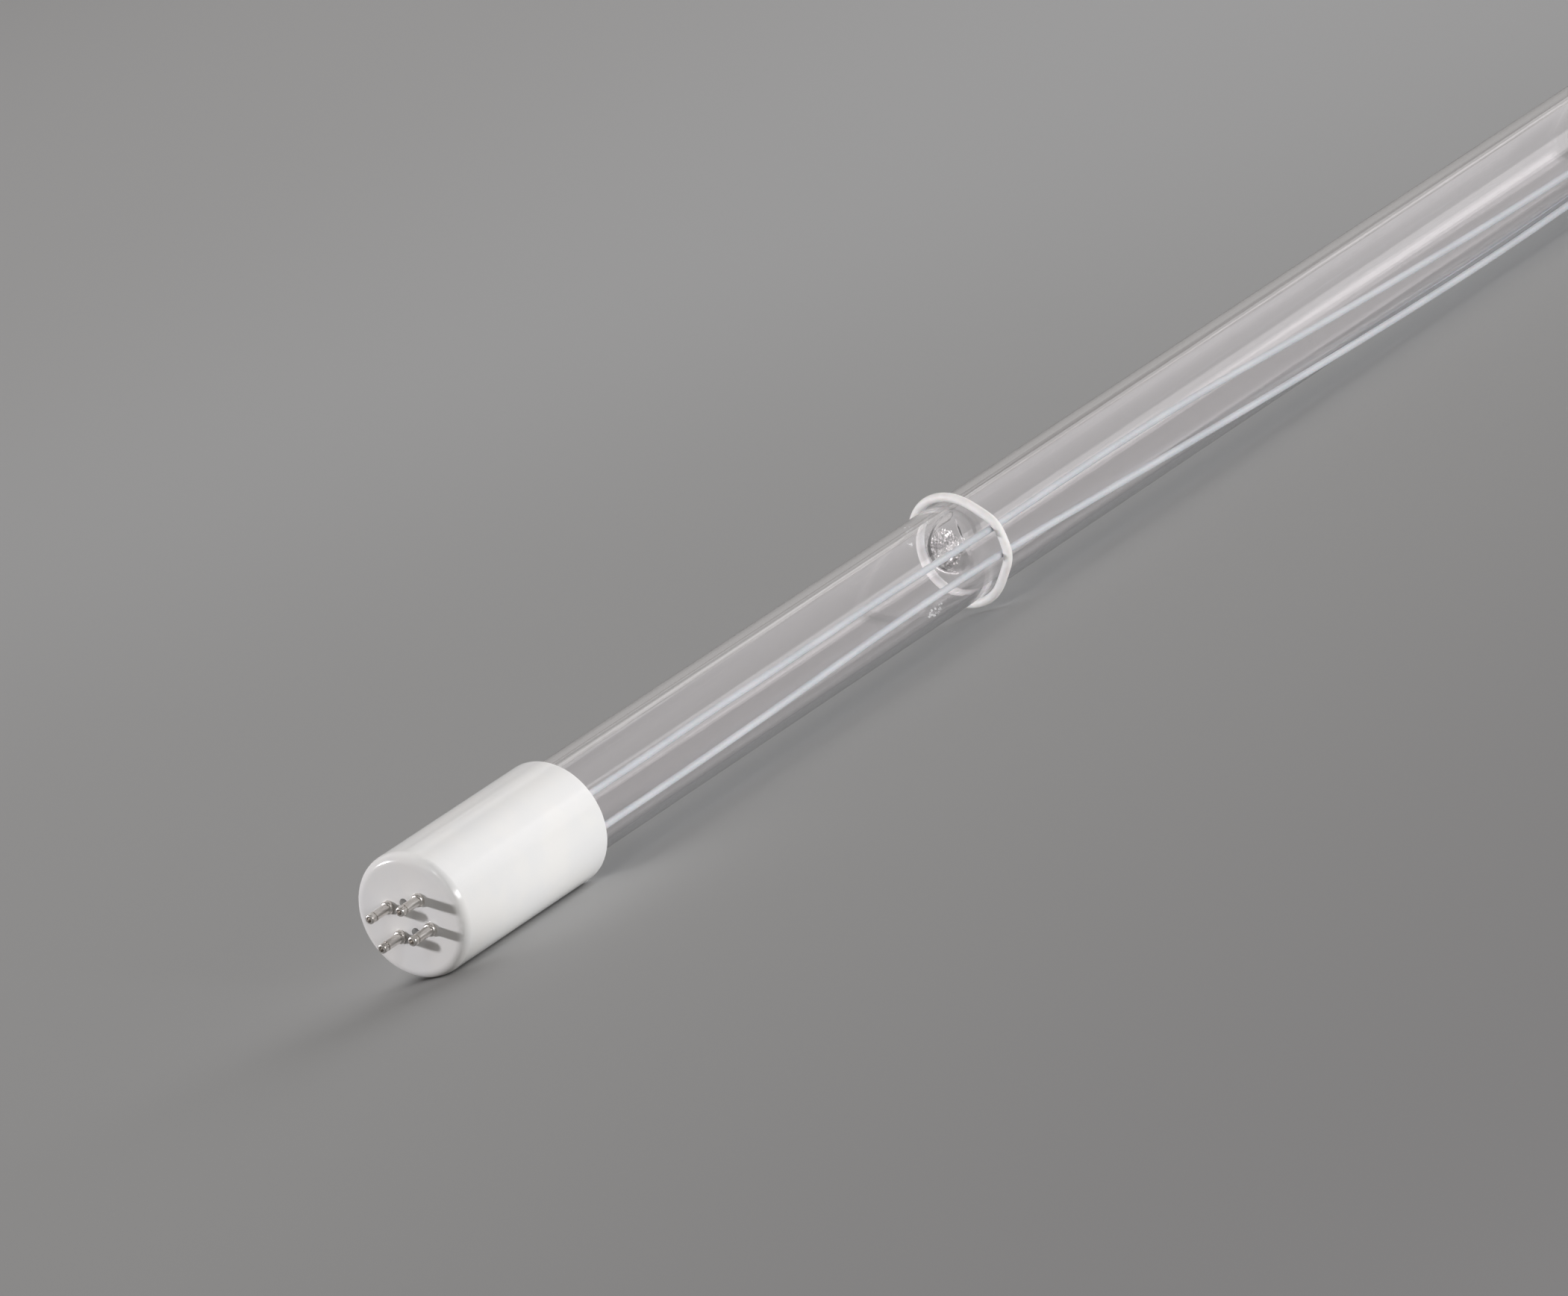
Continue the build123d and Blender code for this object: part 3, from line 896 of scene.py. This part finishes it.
corners = ((-1, -1), (1, -1), (1, 1), (-1, 1))
bead_size = 0.24 * mm
bead_clearance = 0.12 * mm
beads_per_square_metre = 2.6e6
bead_seed = 5
# Place along the lamp, degrees round the tube, length, and degrees covered
patches = [
    wall_patch(152.6 * mm, -38.0, 4.6 * mm, 13.0),
    wall_patch(162.0 * mm, 84.0, 1.2 * mm, 7.0),
    wall_patch(156.2 * mm, 56.0, 1.2 * mm, 7.0),
]
patch_mesh = bpy.data.meshes.new("patches")
quads = [tuple(range(4 * i, 4 * i + 4)) for i in range(len(patches))]
patch_mesh.from_pydata([corner for patch in patches for corner in patch], [], quads)
spots = bpy.data.objects.new("patches", patch_mesh)
bpy.context.scene.collection.objects.link(spots)
beads = droplet_rule()
grown = grow(
    spots, beads, Density=beads_per_square_metre, Size=bead_size, Seed=bead_seed,
    Material=finishes["frosted"],
)
droplets = join("amalgam_droplets", [grown], 60.0)
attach(droplets, "root")

# %% [markdown]
# ## The floor
# A plain pale floor runs far past the lamp. It is matt, so it takes the soft shadow and mirrors nothing.
# Light Path says which kind of ray asks for its colour. The camera, mirrors and glass see a soft grey with
# painted shade on the side of the leads and painted light towards the far end: a falloff of light painted
# into the grey. Light that bounces meets a white card instead, which keeps the caps bright from below. In
# front of the pins the card is dark, so the base's face stays in shade.

# %% Floor
floor_reach = 14.0
floor_height = -cap_radius - 0.02 * mm
near_grey = (0.607, 0.612, 0.617, 1.0)
# Painted light on the far floor and painted shade beside the leads: a falloff of light painted into the
# grey
far_painted_light = (0.66, 0.67, 0.68, 1.0)
side_painted_shade = (0.51, 0.51, 0.52, 1.0)
dark_card = (0.12, 0.105, 0.09, 1.0)
white_card = (0.95, 0.95, 0.95, 1.0)

floor_mesh = bpy.data.meshes.new("floor")
places = [(x * floor_reach, y * floor_reach, floor_height) for x, y in corners]
floor_mesh.from_pydata(places, [], [(0, 1, 2, 3)])
floor = bpy.data.objects.new("floor", floor_mesh)
bpy.context.scene.collection.objects.link(floor)
paper, graph, shader, place = finish("floor_paper", Roughness=0.9, Specular_IOR_Level=0.1)
# Metres from the pins, along the lamp and across it
beyond, beside, _ = graph.parts(place)
# Masks for the painted light farther off and the painted shade beside the leads
lit = graph.between(beyond, 0.2, 0.6) * graph.between(beside, 0.3, 0.8, 1.0, 0.0)
farther = graph.mix(lit, near_grey, far_painted_light)
grey = graph.mix(graph.between(beside, -0.45, 0.0), side_painted_shade, farther)
rays = graph.node("ShaderNodeLightPath")
seen = rays.out("Is Camera Ray").maths("MAXIMUM", rays.out("Is Glossy Ray"))
seen = seen.maths("MAXIMUM", rays.out("Is Transmission Ray"))
card = graph.mix(graph.between(beyond, -0.01, 0.02), dark_card, white_card)
graph.feed(shader.inputs["Base Color"], graph.mix(seen, card, grey))
floor_mesh.materials.append(paper)
print("floor:", round(floor_height / mm, 2), "mm below the middle of the pins")

# %% [markdown]
# ## The light
# Soft light comes from all round, and each lamp has one job that shows on the real thing. The key is a low
# strip beside the leads, for the sides of the caps. The overhead panel lights the floor and the tops. The
# far panel and the side box are what the glass mirrors as its long soft gleam, and the back panel is what
# its edges mirror. The window is small and strong, so that the pins throw crisp shadows across the base's
# face. The slit draws a gleam on the base's rounded edge, and the front card makes the amalgam sparkle.
# The low lamps would burn a bright pool into the floor. Light linking keeps them off it, as a flag does in
# a studio. The far panel grows dim towards its top, so that its gleam ends softly.


# %% Lamps
def soft_box(name, azimuth, elevation, distance, size, power, colour, aim):
    """A flat lamp that hangs in a direction round the aim and faces it."""
    across, up = math.radians(azimuth), math.radians(elevation)
    away = Vector((math.cos(across) * math.cos(up), math.sin(across) * math.cos(up), math.sin(up)))
    light = bpy.data.lights.new(name, "AREA")
    light.shape = "RECTANGLE"
    light.size, light.size_y = size
    light.energy = power
    light.color = colour
    lamp = bpy.data.objects.new(name, light)
    facing = away.to_track_quat("Z", "Y").to_matrix().to_4x4()
    lamp.matrix_world = Matrix.Translation(Vector(aim) + away * distance) @ facing
    bpy.context.scene.collection.objects.link(lamp)
    return lamp


white = (1.0, 1.0, 1.0)
cream = (1.0, 0.997, 0.995)
rose = (1.0, 0.975, 0.985)
pink = (1.0, 0.975, 1.0)
pins = (0.0, 0.0, 0.0)
# Degrees round and up, metres away, width and height, watts, colour, and what the lamp aims at
boxes = {
    "key": (-90, 5, 0.75, (0.7, 0.13), 3.75, cream, (0.05, 0.0, 0.0)),
    "overhead": (60, 72, 1.9, (2.4, 2.4), 12.0, white, (0.4, 0.2, 0.0)),
    "far_panel": (-12, 28, 2.2, (2.4, 1.8), 16.2, rose, (0.3, 0.0, 0.0)),
    "side_box": (-31, 13, 2.1, (1.3, 0.9), 4.8, rose, (0.3, 0.0, 0.0)),
    "back_panel": (42, 15, 2.6, (3.2, 1.3), 3.8, white, (0.2, 0.0, 0.0)),
    "window": (131, 21, 1.3, (0.055, 0.09), 11.4, pink, pins),
    "slit": (-117, 8, 1.2, (0.03, 0.2), 0.8, white, pins),
    "front_card": (-150, 36, 1.5, (0.24, 0.24), 1.3, white, pins),
}
lamps = {name: soft_box(name, *facts) for name, facts in boxes.items()}

far_panel = lamps["far_panel"]
far_panel.data.use_nodes = True
graph = Graph(far_panel.data.node_tree)
_, height, _ = graph.parts(graph.node("ShaderNodeNewGeometry").out("Parametric"))
emission = next(node for node in graph.tree.nodes if node.type == "EMISSION")
dim_from = 0.8
dark_at = 1.1
graph.feed(emission.inputs["Strength"], graph.between(height, dim_from, dark_at, 1.0, 0.0))

flagged = bpy.data.collections.new("behind_the_flag")
flagged.objects.link(floor)
flagged.collection_objects[0].light_linking.link_state = "EXCLUDE"
for name in ("key", "side_box", "back_panel", "window"):
    lamps[name].light_linking.receiver_collection = flagged
print("lamps:", ", ".join(lamps))

# %% [markdown]
# ### The room
# What the lamps leave in shade gets a little warm light from the world, and Standard shows colours about as
# they are written.

# %% Room
warm_shade = (1.0, 0.93, 0.86, 1.0)
room_light = 0.12
world = bpy.data.worlds.new("studio")
world.use_nodes = True
sky = world.node_tree.nodes["Background"]
sky.inputs["Color"].default_value = warm_shade
sky.inputs["Strength"].default_value = room_light
bpy.context.scene.world = world
bpy.context.scene.view_settings.view_transform = "Standard"
print("room light:", room_light)
